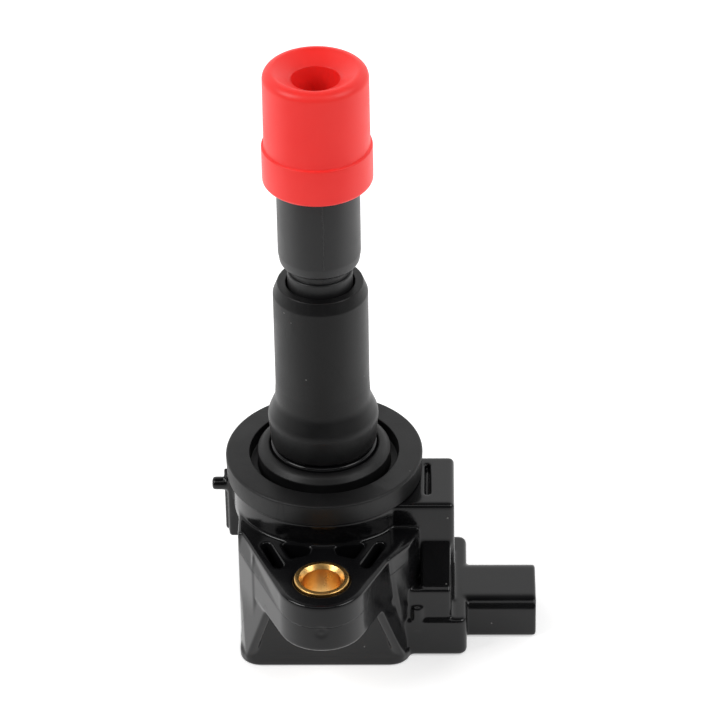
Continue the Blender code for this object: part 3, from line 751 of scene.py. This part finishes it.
def moulded_plastic(name, dark, pale, rough, grain_mm, grain_height, dust=0.5, wear=0.3, ior=1.5,
                    scuffs=0.4):
    """Moulded plastic or rubber: fine grain, cloudy gloss, dust specks, scuffs, and worn edges."""
    made = Finish(name, ior=ior)
    cloud = made.noise(9.0, 3.0, 0.55)
    fine = made.noise(grain_mm, 3.0, 0.6)
    streaks = made.scratches(6.0, (1.0, 0.25, 0.35))
    cross = made.scratches(8.0, (0.3, 1.0, 0.2), (4, 9, 1))
    scuff = made.times(made.maths("MAXIMUM", streaks, cross), scuffs)
    speck = made.times(made.specks(5.5, 0.22), dust)
    pointed = made.node("ShaderNodeNewGeometry").outputs["Pointiness"]
    edge = made.ramp(pointed, 0.53, 0.62, 0.0, wear)
    worn = made.times(edge, made.ramp(cloud, 0.35, 0.65))
    worn_colour = rgb(*(min(1.0, c * 2.5 + 0.02) for c in pale))
    body = made.mix(made.ramp(cloud, 0.3, 0.7), rgb(*dark), rgb(*pale))
    body = made.mix(worn, body, worn_colour)
    body = made.mix(made.times(speck, 0.6), body, rgb(0.45, 0.44, 0.42))
    level = made.ramp(cloud, 0.3, 0.7, rough * 0.85, rough * 1.15)
    level = made.maths("ADD", level, made.ramp(fine, 0.3, 0.7, -0.03, 0.03))
    level = made.maths("ADD", level, made.times(scuff, 0.25))
    level = made.maths("ADD", level, made.times(speck, 0.3))
    made.look({"Base Color": body, "Roughness": level})
    made.raise_by(fine, grain_height)
    made.raise_by(speck, 0.015)
    made.raise_by(made.times(scuff, -1.0), 0.004)
    return made


def metal(name, bright, deep, rough, tarnish_mm, lines, spread, metallic=1.0):
    """Tarnished metal with fine lines, whose noise is given too.

    The spread is the tarnish's least and most factor on the roughness, then the lines' share.
    """
    made = Finish(name, metallic=metallic)
    fine = made.noise(*lines)
    tarnish = made.noise(tarnish_mm, 4.0, 0.6)
    low, high, least, most = spread
    level = made.ramp(tarnish, 0.3, 0.7, rough * low, rough * high)
    made.look({
        "Base Color": made.mix(made.ramp(tarnish, 0.35, 0.7), rgb(*bright), rgb(*deep)),
        "Roughness": made.maths("ADD", level, made.ramp(fine, 0.3, 0.7, least, most)),
    })
    return made, fine


def turned_metal(name, bright, deep, rough, centre, ring_mm, ring_height):
    """Metal from the lathe: fine rings about its axis on the faces and along it in the bore."""
    made, fine = metal(name, bright, deep, rough, 2.4, (0.25,), (0.8, 1.25, -0.03, 0.05))
    radius, height = made.around(centre)
    turns = made.times(made.maths("ADD", radius, height), math.tau / (ring_mm * MM))
    made.raise_by(made.maths("SINE", turns), ring_height)
    made.raise_by(fine, ring_height * 0.3)
    return made


def drawn_metal(name, bright, deep, rough, stretch, metallic):
    """Drawn or rolled metal: fine lines one way."""
    made, fine = metal(name, bright, deep, rough, 1.8, (0.12, 2.0, 0.6, stretch),
                       (0.8, 1.2, -0.05, 0.08), metallic)
    made.raise_by(fine, 0.004)
    return made


# Name, dark and pale colour, roughness, size and height of the grain, and what else differs
PLASTICS = (
    ("housing_gloss", (0.0035, 0.0035, 0.004), (0.0065, 0.0065, 0.007), 0.17, 0.35, 0.0012,
     {"wear": 0.35, "ior": 1.40}),
    ("tube_satin", (0.009, 0.009, 0.0095), (0.013, 0.013, 0.0135), 0.40, 0.22, 0.004,
     {"dust": 0.2}),
    ("sleeve_satin", (0.003, 0.003, 0.0032), (0.006, 0.006, 0.0063), 0.40, 0.28, 0.010,
     {"dust": 0.35, "wear": 0.5, "ior": 1.38}),
    ("seal_rubber", (0.003, 0.003, 0.0032), (0.006, 0.006, 0.0064), 0.48, 0.3, 0.008,
     {"dust": 0.3, "wear": 0.5, "ior": 1.42, "scuffs": 0.9}),
    ("boot_silicone", (0.94, 0.026, 0.022), (0.97, 0.036, 0.030), 0.40, 0.5, 0.003,
     {"dust": 0.06, "wear": 0.1, "ior": 1.42, "scuffs": 0.15}),
    ("potting_epoxy", (0.006, 0.006, 0.007), (0.016, 0.016, 0.016), 0.22, 1.6, 0.02,
     {"dust": 0.8, "wear": 0.0}),
    ("former_plastic", (0.42, 0.37, 0.28), (0.55, 0.50, 0.40), 0.45, 0.4, 0.006, {}),
    ("semiconductor_moulding", (0.012, 0.012, 0.013), (0.02, 0.02, 0.021), 0.5, 0.12, 0.006, {}),
    ("ferrite", (0.03, 0.03, 0.032), (0.05, 0.05, 0.052), 0.55, 0.15, 0.012, {}),
    ("resistor_ceramic", (0.62, 0.58, 0.50), (0.74, 0.71, 0.64), 0.5, 0.2, 0.006, {}),
)
# Name, bright and tarnished colour, roughness, axis, and spacing and height of the rings
TURNED_METALS = (
    ("brass_bush", (0.86, 0.53, 0.19), (0.74, 0.42, 0.13), 0.30, BUSH_CENTRE, 0.16, 0.0007),
    ("brass", (0.86, 0.62, 0.26), (0.66, 0.42, 0.15), 0.26, AXIS, 0.14, 0.0012),
)
# Name, bright and tarnished colour, roughness, stretch of the lines, and how metallic
DRAWN_METALS = (
    ("spring_steel", (0.56, 0.56, 0.57), (0.36, 0.35, 0.35), 0.28, (1, 1, 0.1), 1.0),
    ("tinned_copper", (0.74, 0.73, 0.70), (0.58, 0.56, 0.52), 0.3, (0.1, 1, 1), 1.0),
    ("primary_copper", (0.62, 0.24, 0.10), (0.42, 0.14, 0.05), 0.3, (1, 1, 0.1), 0.85),
    ("secondary_copper", (0.48, 0.16, 0.06), (0.34, 0.09, 0.035), 0.28, (1, 0.1, 1), 0.6),
    ("silicon_steel", (0.34, 0.35, 0.37), (0.20, 0.20, 0.22), 0.42, (0.1, 1, 1), 0.9),
    ("aluminium", (0.80, 0.81, 0.82), (0.66, 0.67, 0.69), 0.32, (1, 0.1, 1), 1.0),
)


def make_finishes():
    """Every material, by name."""
    finishes = {row[0]: moulded_plastic(*row[:-1], **row[-1]) for row in PLASTICS}
    finishes.update((row[0], turned_metal(*row)) for row in TURNED_METALS)
    finishes.update((row[0], drawn_metal(*row)) for row in DRAWN_METALS)
    finishes["housing_gloss"].parting_line(22.7, 0.055, -13.5, -0.05)
    rubber = finishes["seal_rubber"]
    rubber.raise_by(rubber.scratches(2.2, (0.25, 1.0, 1.0), (2, 6, 8)), 0.012)
    silicone = finishes["boot_silicone"]
    # Painted glow: an emission lights the boot's outside from within. It stands in for light
    # carried through the silicone and for front light the lamps don't give, so the bore gets none.
    silicone.look({
        "Emission Strength": silicone.ramp(silicone.around()[0], 4.4 * MM, 6.5 * MM, 0.0, 0.12),
        "Emission Color": rgb(1.0, 0.035, 0.03),
        "Subsurface Weight": 0.12,
        "Subsurface Scale": 0.002,
        "Subsurface Radius": (1.0, 0.25, 0.2),
    })
    return {name: finish.done() for name, finish in finishes.items()}


# ---- the housing


def shape_housing(solid):
    """Builds the moulded housing up from its forms, then hollows it."""
    half = BLOCK_HALF_WIDTH
    solid.add(prism(block_outline(), BLOCK_BOTTOM, BLOCK_TOP, EDGE))
    rim = rounded_rectangle((-half - RIM_SIDE_OVERHANG, RIM_FRONT),
                            (half + RIM_SIDE_OVERHANG, BLOCK_BACK + RIM_BACK_OVERHANG), RIM_CORNER)
    solid.add(prism(rim, 0.0, RIM_HEIGHT, 0.4), 0.5)
    solid.add(prism(ear_outline(), EAR_BOTTOM, BLOCK_TOP, EDGE))
    for side in (-1, 1):
        corners = []
        for x, y, height in GUSSET_CORNERS:
            corners += [(side * x, y, height), (side * (x - GUSSET_THICKNESS), y, height)]
        solid.add(hull(corners), 0.3)
    wedge = []
    for x, y, parting, inset in EAR_DRAFT:
        wedge += [(x, y, parting), (x + 0.9 * inset, y + 0.4 * inset, BLOCK_TOP + 0.1)]
        wedge += [(x - 1.4, y - 0.6, parting), (x - 1.4, y - 0.6, BLOCK_TOP + 0.1)]
    solid.cut(hull(wedge), 0.15)
    solid.add(pillar(AXIS, NECK_RADIUS, BLOCK_TOP - 2.0, NECK_TOP, 0.4), 0.5)
    solid.add(pillar(AXIS, TOWER_RADIUS, NECK_TOP - 1.0, TOWER_TOP, 0.3), 0.3)
    solid.add(pillar(AXIS, SPIGOT_RADIUS, TOWER_TOP - 1.0, SPIGOT_TOP, 0.4))
    shoulder = [(x, y, BLOCK_TOP - 0.05) for x, y in SHOULDER_TOP_PLAN]
    shoulder += [(x, y, SHOULDER_FOOT) for x, y in SHOULDER_FOOT_PLAN]
    solid.add(hull(shoulder), 0.5)
    solid.cut(pillar(GATE_CENTRE, GATE_RECESS_RADIUS, EAR_TIP - 1.0, EAR_TIP + 0.22, 0.05, "Y"))
    solid.add(pillar(GATE_CENTRE, GATE_STUB_RADIUS, EAR_TIP + 0.08, EAR_TIP + 1.0, 0.05, "Y"))
    shape_bay(solid)
    solid.add(block(*RAIL, 0.35), 0.2)
    solid.add(block(*FIN, 0.15))
    solid.add(pillar(PEG_CENTRE, PEG_RADIUS, HOUSING_LOW.x, -17.0, 0.4, "X"), 0.3)
    hollow_housing(solid)


def shape_bay(solid):
    """The electronics bay on the right, its ledge, slope, foot, post and the connector shell."""
    left = BLOCK_OVERLAP
    solid.add(block((left, BAY_FRONT, 2.0), (BAY_RIGHT, BAY_BACK, BAY_TOP), 0.9), 0.3)
    solid.add(block((left, LEDGE_FRONT, 1.0), (LEDGE_RIGHT, BAY_FRONT + 3.0, LEDGE_TOP), 0.6), 0.4)
    solid.add(prism(filleted(SLOPE_SECTION), SLOPE_LEFT, LEDGE_RIGHT - 0.1, 0.35, "X"), 0.3)
    foot = rounded_rectangle((left - 1.0, FOOT_FRONT), (FOOT_RIGHT, FOOT_BACK), FOOT_CORNER)
    solid.add(prism(foot, 0.15, FOOT_TOP, 0.8), 0.5)
    solid.add(prism(connector_outline(), FOOT_RIGHT - 1.0, CONNECTOR_END, 0.3, "X"), 0.2)
    solid.add(pillar(POST_CENTRE, POST_RADIUS, FOOT_TOP - 2.4, POST_TOP, 0.35), 0.4)


def hollow_housing(solid):
    """Cuts the block's hollow, the bores, the connector socket and the recesses in the ear."""
    ceiling = BLOCK_TOP - ROOF
    solid.cut(prism(block_outline(WALL, 0.4), -1.0, ceiling))
    # A shelf inside the front wall keeps the ear's recesses from opening into the hollow.
    solid.add(block((-13.0, BLOCK_FRONT + 1.0, RECESS_FLOOR - WALL),
                    (13.0, SHELF_BACK, BLOCK_TOP - 1.0), 0.2), 0.3)
    solid.cut(pillar(AXIS, NECK_RADIUS - 4.0, ceiling - 1.0, NECK_TOP - 2.3))
    solid.cut(block((BLOCK_OVERLAP - 1.0, BAY_FRONT + WALL, -1.0),
                    (BAY_RIGHT - WALL, BAY_BACK - WALL, BAY_TOP - WALL), 0.3))
    solid.cut(pillar(AXIS, TOWER_BORE, NECK_TOP - 4.0, SPIGOT_TOP + 1.0))
    solid.cut(pillar(BUSH_CENTRE, BUSH_HIGH.x + 0.05, EAR_BOTTOM - 1.0, BLOCK_TOP + 1.0))
    socket = connector_outline(CONNECTOR_WALL)
    solid.cut(prism(socket, SOCKET_FLOOR, CONNECTOR_END + 1.0, axis="X"), 0.2)
    for index in (-1, 0, 1):
        middle = CONNECTOR_CENTRE + index * PIN_PITCH
        low = (BAY_RIGHT - WALL - 1.0, middle - 1.0, PIN_HEIGHT - GAP)
        high = (SOCKET_FLOOR + 1.0, middle + 1.0, PIN_HEIGHT + PIN_THICKNESS + GAP)
        solid.cut(block(low, high, 0.0))
    for side in (-1, 1):
        ends = [(side * u, v) for u, v in (SLOT_BACK, SLOT_FRONT)]
        pocket = filleted([(side * u, v, 0.5) for u, v in POCKET_CORNERS])
        for outline in (slot_outline(*ends, SLOT_WIDTH), pocket):
            solid.cut(prism(outline, RECESS_FLOOR, BLOCK_TOP + 1.0))
    bay_slot = slot_outline(*BAY_SLOT, BAY_SLOT_WIDTH)
    solid.cut(prism(bay_slot, BAY_TOP - BAY_SLOT_DEPTH, BAY_TOP + 1.0))


def moulded(name, solid, most_triangles, low, high, material):
    """A softened solid as one fine mesh inside a box, with the true normals of its surface."""
    solid.soften()
    points, faces = solid.surface()
    mesh = bpy.data.meshes.new(name)
    mesh.from_pydata((points * MM).tolist(), [], faces.tolist())
    piece = shown(name, mesh, material)
    triangles = 2 * len(faces)
    if triangles > most_triangles:
        thin = piece.modifiers.new("thin", "DECIMATE")
        thin.ratio = most_triangles / triangles
        evaluated = piece.evaluated_get(bpy.context.evaluated_depsgraph_get())
        lighter = bpy.data.meshes.new_from_object(evaluated)
        piece.modifiers.clear()
        piece.data = lighter
    place = np.array([vert.co for vert in piece.data.vertices])
    place = np.clip(place, np.array(low) * MM, np.array(high) * MM)
    piece.data.vertices.foreach_set("co", place.reshape(-1))
    piece.data.shade_smooth()
    piece.data.normals_split_custom_set_from_vertices(solid.normals(place / MM).tolist())
    return piece


def make_housing(material):
    """The glossy housing."""
    solid = Moulding(HOUSING_LOW, HOUSING_HIGH, GRID_STEP)
    shape_housing(solid)
    piece = moulded("housing_shell", solid, HOUSING_TRIANGLES, HOUSING_LOW, HOUSING_HIGH, material)
    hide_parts("housing")
    return piece


def potting_outline():
    """Plan of the potting: the block's hollow, with the electronics bay's on its right side."""
    inset = WALL + 0.05
    near, far = BLOCK_HALF_WIDTH - inset, BAY_RIGHT - inset
    front, back = BAY_FRONT + inset, BAY_BACK - inset
    walls = block_outline(inset, 0.4)
    first_back = next(i for i, point in enumerate(walls) if point[1] > BAY_BACK)
    bay = [(near, front), (far, front), (far, back), (near, back)]
    return walls[:first_back] + bay + walls[first_back:]


def make_potting(material):
    """The resin in the housing's underside: it creeps up the walls and sags between them."""
    low, high = node_box("potting_layer")
    outline = potting_outline()

    def pool(grid):
        x, y, z = grid
        wall = outline_distance(outline, x, y)
        sag = POTTING_SAG * (1.0 - np.exp(np.minimum(wall, 0.0) / 1.1))
        swell = 0.05 * np.sin(0.33 * x + 0.8) * np.cos(0.27 * y - 0.4)
        return np.maximum(np.maximum(wall, z - high.z), 0.12 + sag + swell - z)

    solid = Moulding(low, high, GRID_STEP)
    solid.add((pool, low, high))
    for x, y, radius in BUBBLES:
        solid.cut(ball((x, y, POTTING_SAG), radius), 0.15)
    piece = moulded("potting_pool", solid, POTTING_TRIANGLES, low, high, material)
    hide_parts("potting_layer")
    return piece


# ---- turned pieces


def make_boot(material):
    """The soft red boot: a collar, a barrel with a round top edge, and a funnel at the mouth."""
    top, bottom = BOOT_HIGH.z, BOOT_LOW.z
    collar, barrel, socket = BOOT_HIGH.x, BOOT_BARREL_RADIUS, BOOT_SOCKET_RADIUS
    profile = filleted([
        (socket, bottom, 0.3), (collar, bottom, 0.75), (collar, BOOT_COLLAR_TOP, 0.3),
        (barrel + 0.02, BOOT_COLLAR_TOP + 0.1, 0.15), (barrel - 0.05, top, 1.7),
        (7.5, top, 1.2), (BOOT_BORE, top - 1.85, 0.22), (BOOT_BORE, BOOT_SOCKET_TOP, 0.2),
        (socket, BOOT_SOCKET_TOP, 0.2),
    ], 6.0)
    return turned("boot_shell", "plug_boot", profile, material, steps=192)


def make_tube(material):
    """The rigid tube, with the neck that plugs into the sleeve."""
    radius, top, foot = TUBE_HIGH.x, TUBE_HIGH.z, TUBE_LOW.z
    neck, waist = TUBE_NECK_RADIUS, TUBE_WAIST_RADIUS
    profile = filleted([
        (TUBE_BORE, foot, 0.1), (neck, foot, 0.6), (neck, TUBE_NECK_TOP, 0.25),
        (waist, TUBE_NECK_TOP + 0.1, 0.1), (waist, TUBE_SHOULDER, 0.15),
        (radius - 0.35, TUBE_SHOULDER, 1.1), (radius, TUBE_SHOULDER + 2.4, 2.0), (radius, top, 0.6),
        (TUBE_CONTACT_BORE, top, 0.2), (TUBE_CONTACT_BORE, TUBE_CONTACT_FLOOR, 0.1),
        (TUBE_BORE, TUBE_CONTACT_FLOOR, 0.1),
    ], 7.0)
    return turned("tube_shell", "high_voltage_tube", profile, material)


def make_tube_seam(material):
    """The uneven ridge that the mould's joint left down the front of the tube and of its neck."""
    azimuth = math.radians(SEAM_AZIMUTH)
    runs = (("tube_seam_upper", TUBE_HIGH.x, 79.2, 93.4),
            ("tube_seam_neck", TUBE_WAIST_RADIUS, 75.0, 76.5))
    pieces = []
    for name, radius, low, high in runs:
        steps = max(4, int((high - low) / SEAM_STEP))
        wander, path = 0.0, []
        for step in range(steps + 1):
            wander = 0.85 * wander + random.uniform(-SEAM_WANDER, SEAM_WANDER)
            turn = azimuth + wander / radius
            reach = radius + random.uniform(-SEAM_WANDER, 0.0)
            height = low + (high - low) * step / steps
            path.append((reach * math.cos(turn), reach * math.sin(turn), height))
        pieces.append(wire(name, path, SEAM_RADIUS, material, 8))
    return pieces


def make_sleeve(material):
    """The sleeve under the tube: a flat mouth, a barrel and a skirt that swells at its foot."""
    base, top = SLEEVE_LOW.z, SLEEVE_HIGH.z
    counterbore, step = SPIGOT_RADIUS + GAP, SPIGOT_TOP + GAP
    profile = filleted([
        (counterbore, base, 0.15), (SLEEVE_FOOT_RADIUS, base, 0.55), *SLEEVE_SWELL,
        (SLEEVE_RADIUS, 51.0, 8.0), (SLEEVE_RADIUS, 70.1, 1.0), (7.75, top, 0.25),
        (SLEEVE_MOUTH_RADIUS, top, 0.25), (SLEEVE_MOUTH_RADIUS, step, 0.2),
        (counterbore, step, 0.2),
    ], 6.0)
    return turned("sleeve_shell", "tube_sleeve", profile, material)


def make_seal(material):
    """The flange seal: a flat face with a deep groove and a round inner lip."""
    inner, outer = TOWER_RADIUS + 0.05, SEAL_HIGH.x
    base, lip = SEAL_LOW.z, SEAL_HIGH.z
    face = lip - SEAL_LIP_HEIGHT
    floor = face - SEAL_GROOVE_DEPTH
    profile = filleted([
        (inner, base, 0.2), (outer - 0.15, base, 0.4), (outer, face, 0.5), (13.8, face, 0.18),
        (13.7, floor, 0.3), (12.15, floor, 0.3), (12.25, face + 0.6, 0.35), (11.2, lip, 1.6),
        (inner + 0.05, lip, 0.5),
    ], 6.0)
    return turned("seal_ring", "flange_seal", profile, material, steps=192)


def make_bush(material):
    """The turned brass bush with a chamfer at each end of its bore."""
    low, high, outer, bore = BUSH_LOW.z, BUSH_HIGH.z, BUSH_HIGH.x, BUSH_BORE
    profile = filleted([
        (bore, low + 0.6, 0.08), (bore + 0.6, low, 0.08), (outer, low, 0.2), (outer, high, 0.25),
        (bore + 0.65, high, 0.1), (bore, high - 0.8, 0.15),
    ], 12.0)
    return turned("bush_turned", "mounting_bush", profile, material, BUSH_CENTRE, 128)


def make_spring(name, node, radius, turns, dead_turns, material):
    """A compression spring that fills the height of its node."""
    low, high = node_box(node)
    path = helix_path(radius, low.z + 0.4, high.z - 0.4, turns, dead_turns)
    spring = wire(name, path, SPRING_WIRE_RADIUS, material)
    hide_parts(node)
    return spring


def make_cap(material):
    """The contact cap: a stem with a round end on a flange."""
    low, high = CAP_LOW.z, CAP_HIGH.z
    flange, step = CAP_FLANGE_RADIUS, low + CAP_FLANGE_THICKNESS
    profile = filleted([
        (0, low, 0), (flange, low, 0.15), (flange, step, 0.2), (CAP_RADIUS, step, 0.1),
        (CAP_RADIUS, high, 0.8), (0, high, 0),
    ], 10.0)
    return turned("contact_cap_turned", "contact_cap", profile, material, steps=64)


# ---- the scene around it


CAMERA_PLACE = (22.66, -601.61, 464.0)
CAMERA_PITCH, CAMERA_YAW, CAMERA_ROLL = 34.2, -1.5, -1.0  # degrees; the pitch is downwards
LIGHTS_AIM = (0.0, 0.0, 50.0)
# Name, place, width, height and watts
LIGHTS = (
    ("left_softbox", (-650.0, -280.0, 640.0), 480.0, 480.0, 4.2),
    ("right_softbox", (650.0, -280.0, 640.0), 480.0, 480.0, 3.0),
    ("front_fill", (0.0, -520.0, 900.0), 800.0, 300.0, 0.9),
)
FLOOR_DROP = 0.02  # below the coil's lowest point


def make_camera():
    """A long lens that looks down on the coil from in front."""
    pitch, yaw, roll = (math.radians(a) for a in (CAMERA_PITCH, CAMERA_YAW, CAMERA_ROLL))
    turn = Matrix.Rotation(-yaw, 4, "Z") @ Matrix.Rotation(math.pi / 2 - pitch, 4, "X")
    turn = turn @ Matrix.Rotation(roll, 4, "Z")
    data = bpy.data.cameras.new("camera")
    data.lens = 200.0
    data.sensor_width = 36.0
    data.clip_start = 0.01
    camera = bpy.data.objects.new("camera", data)
    camera.matrix_world = Matrix.Translation(Vector(CAMERA_PLACE) * MM) @ turn
    bpy.context.scene.collection.objects.link(camera)
    bpy.context.scene.camera = camera


def make_light(name, place, width, height, power):
    """A rectangular softbox that faces the middle of the coil."""
    data = bpy.data.lights.new(name, "AREA")
    data.shape = "RECTANGLE"
    data.size = width * MM
    data.size_y = height * MM
    data.energy = power
    light = bpy.data.objects.new(name, data)
    place, target = Vector(place) * MM, Vector(LIGHTS_AIM) * MM
    turn = (target - place).to_track_quat("-Z", "Y").to_matrix().to_4x4()
    light.matrix_world = Matrix.Translation(place) @ turn
    bpy.context.scene.collection.objects.link(light)


def make_world():
    """A pale room: bright behind the coil, dimmer beside it, and dim overhead and in front."""
    world = bpy.data.worlds.new("studio")
    bpy.context.scene.world = world
    world.use_nodes = True
    sky = Nodes(world.node_tree)
    parts = sky.split(sky.node("ShaderNodeTexCoord").outputs["Generated"])
    ahead = sky.ramp(parts["Y"], -0.1, 0.55, 0.06, 1.12)
    above = sky.ramp(parts["Z"], 0.62, 0.9, 1.0, 0.25)
    sky.fill(sky.tree.nodes["Background"],
             {"Color": rgb(1.0, 1.0, 1.0), "Strength": sky.times(ahead, above)})


def make_floor():
    """A wide sheet of white acrylic, softly lit from below, less so in front and far behind; its
    colour is darkened there too, as painted shade.
    """
    made = Finish("floor_acrylic", roughness=0.9)
    grain = made.noise(1.5, 3.0, 0.6)
    depth = made.split(made.place)["Y"]
    near = made.ramp(depth, -0.085, -0.036, 0.56, 1.0)
    light = made.times(near, made.ramp(depth, -0.9, -0.14, 0.6, 1.0))
    card = made.mix(grain, rgb(0.94, 0.94, 0.94), rgb(0.97, 0.97, 0.97))
    made.look({
        # Painted shade: the same falloff darkens the floor's colour in front and far behind.
        "Base Color": made.mix(light, rgb(0.0, 0.0, 0.0), card),
        "Specular IOR Level": 0.0,
        "Emission Color": rgb(1.0, 1.0, 1.0),
        "Emission Strength": made.times(light, 0.5),
    })
    made.raise_by(grain, 0.01)
    bm = bmesh.new()
    bmesh.ops.create_grid(bm, x_segments=8, y_segments=8, size=3.0)
    mesh = bpy.data.meshes.new("floor")
    bm.to_mesh(mesh)
    bm.free()
    floor = shown("floor", mesh, made.done())
    floor.location.z = -FLOOR_DROP * MM


def make_studio():
    """Everything around the coil."""
    make_camera()
    make_world()
    make_floor()
    for light in LIGHTS:
        make_light(*light)
    bpy.context.scene.view_settings.view_transform = "Standard"


# The frame's own meshes that stay, by the material they get
KEPT_NODES = {
    "silicon_steel": "core_bar core_loop",
    "ferrite": "core_magnet",
    "former_plastic": "primary_bobbin secondary_bobbin",
    "primary_copper": "primary_winding primary_lead_feed primary_lead_switched high_voltage_lead",
    "secondary_copper": "secondary_winding",
    "semiconductor_moulding": "igniter_module high_voltage_diode",
    "aluminium": "igniter_heat_spreader",
    "tinned_copper": "terminal_ground terminal_trigger terminal_supply",
    "brass": "high_voltage_terminal resistor_cap_lower resistor_cap_upper",
    "resistor_ceramic": "resistor_body",
}


def main():
    random.seed(7)
    make_studio()
    finishes = make_finishes()
    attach(make_housing(finishes["housing_gloss"]), "coil_body")
    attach(make_potting(finishes["potting_epoxy"]), "coil_body")
    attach(make_tube(finishes["tube_satin"]), "coil_body")
    for seam in make_tube_seam(finishes["tube_satin"]):
        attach(seam, "coil_body")
    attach(make_sleeve(finishes["sleeve_satin"]), "coil_body")
    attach(make_seal(finishes["seal_rubber"]), "coil_body")
    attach(make_bush(finishes["brass_bush"]), "coil_body")
    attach(make_boot(finishes["boot_silicone"]), "boot")
    steel = finishes["spring_steel"]
    spring = make_spring("contact_spring_wound", "contact_spring", CONTACT_SPRING_RADIUS,
                         CONTACT_SPRING_TURNS, 1.2, steel)
    link = make_spring("link_spring_wound", "link_spring", LINK_SPRING_RADIUS,
                       LINK_SPRING_TURNS, 1.0, steel)
    cap = make_cap(finishes["brass"])
    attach(spring, "coil_body")
    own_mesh(spring)
    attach(link, "coil_body")
    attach(cap, "contact")
    for finish, nodes in KEPT_NODES.items():
        for node in nodes.split():
            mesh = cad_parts[node].data
            mesh.materials.clear()
            mesh.materials.append(finishes[finish])


main()
